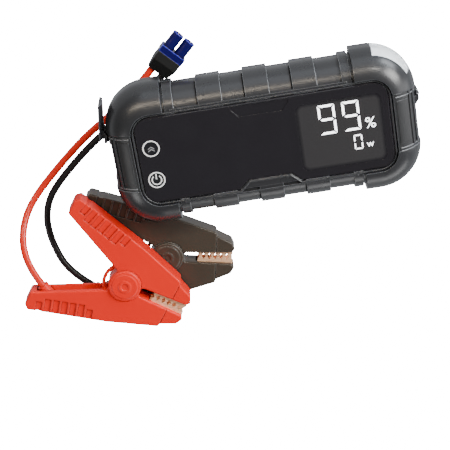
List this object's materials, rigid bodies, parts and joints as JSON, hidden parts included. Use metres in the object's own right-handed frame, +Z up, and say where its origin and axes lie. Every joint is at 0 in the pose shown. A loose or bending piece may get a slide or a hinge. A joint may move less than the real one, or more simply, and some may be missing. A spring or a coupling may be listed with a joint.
{
  "type": "portable jump starter pack",
  "caption": "Rugged portable jump starter with a glossy display panel, push buttons, port flaps, a corner lamp, and corded plug with red and black crocodile clamps.",
  "frame": {"origin": "middle of the flat back that the unit rests on", "axes": "+Z up through the display face, +X along the unit towards the display end, +Y towards the lamp side"},
  "size_m": [0.3131, 0.2192, 0.0518],
  "materials": {
    "shell_plastic": "satin charcoal",
    "trim_rubber": "soft matt",
    "flap_rubber": "soft matt",
    "bumper_rubber": "soft satin",
    "panel_gloss": "gloss",
    "smoked_window": "smoked gloss",
    "digit_white": "bright",
    "display_black": "matt",
    "circuit_board": "green",
    "button_rubber": "matt",
    "clear_lens": "frosted",
    "reflector": "bright",
    "led_yellow": "matt",
    "gasket_rubber": "matt",
    "steel": "plain",
    "spring_steel": "plain",
    "connector_blue": "semi gloss",
    "contact_brass": "gold plated",
    "cell_wrap": "film",
    "copper": "bright copper",
    "boot_black": "matt",
    "black_nylon": "satin",
    "red_nylon": "satin",
    "lead_red": "satin",
    "lead_black": "satin"
  },
  "bodies": {
    "black_lever": {"black_clamp_lever": "black_nylon", "black_lever_jaw": "copper", "black_link_lead": "lead_black"},
    "red_lever": {"red_clamp_lever": "red_nylon", "red_lever_jaw": "copper", "red_link_lead": "lead_red"},
    "boost": {"boost_button": "button_rubber"},
    "power": {"power_button": "button_rubber"},
    "left_flap": {"left_port_flap": "flap_rubber"},
    "right_flap": {"right_port_flap": "flap_rubber"},
    "root": {"front_shell": "shell_plastic", "back_shell": "shell_plastic", "left_end_trim": "trim_rubber", "right_end_trim": "trim_rubber", "left_hinge_pin": "steel", "right_hinge_pin": "steel", "bumper_top_left": "bumper_rubber", "bumper_bottom_left": "bumper_rubber", "bumper_top_right": "bumper_rubber", "bumper_bottom_right": "bumper_rubber", "face_panel": "panel_gloss", "display_window": "smoked_window", "display_digits": "digit_white", "display_module": "display_black", "display_board": "circuit_board", "button_switches": "display_black", "button_board": "circuit_board", "lamp_lens": "clear_lens", "lamp_reflector": "reflector", "lamp_leds": "led_yellow", "seal_gasket": "gasket_rubber", "case_screws": "steel", "jump_socket": "connector_blue", "socket_pins": "contact_brass", "port_frame": "display_black", "usb_shells": "steel", "usb_tongues": "digit_white", "battery_cells": "cell_wrap", "cell_cradle": "display_black", "bus_bars": "copper", "main_board": "circuit_board", "board_feet": "display_black", "board_parts": "display_black", "plug_housing": "connector_blue", "plug_contacts": "contact_brass", "plug_boot": "boot_black", "red_cord": "lead_red", "black_cord": "lead_black", "black_clamp_base": "black_nylon", "black_hub_caps": "black_nylon", "black_base_jaw": "copper", "black_pivot_pin": "steel", "black_torsion_spring": "spring_steel", "red_clamp_base": "red_nylon", "red_hub_caps": "red_nylon", "red_base_jaw": "copper", "red_pivot_pin": "steel", "red_torsion_spring": "spring_steel"}
  },
  "joints": [
    {"name": "black_clamp_pivot", "type": "hinge", "parent": "root", "child": "black_lever", "pos_m": [-0.087, -0.09, 0.0105], "axis": [0, 0, 1], "range_deg": [0, 28], "stiffness_Nm_per_rad": 2, "springref_deg": -14.32},
    {"name": "red_clamp_pivot", "type": "hinge", "parent": "root", "child": "red_lever", "pos_m": [-0.121, -0.1, 0.0288], "axis": [0, 0, 1], "range_deg": [0, 28], "stiffness_Nm_per_rad": 2, "springref_deg": -14.32},
    {"name": "boost_press", "type": "slide", "parent": "root", "child": "boost", "axis": [0, 0, -1], "range_m": [0, 0.0006], "stiffness_N_per_m": 1500, "springref_m": -0.0008},
    {"name": "power_press", "type": "slide", "parent": "root", "child": "power", "axis": [0, 0, -1], "range_m": [0, 0.0006], "stiffness_N_per_m": 1500, "springref_m": -0.0008},
    {"name": "left_flap_hinge", "type": "hinge", "parent": "root", "child": "left_flap", "pos_m": [-0.1134, 0.0147, 0.0265], "axis": [0, 0, 1], "range_deg": [0, 188]},
    {"name": "right_flap_hinge", "type": "hinge", "parent": "root", "child": "right_flap", "pos_m": [0.1134, 0.0147, 0.0265], "axis": [0, 0, 1], "range_deg": [0, 170]}
  ]
}
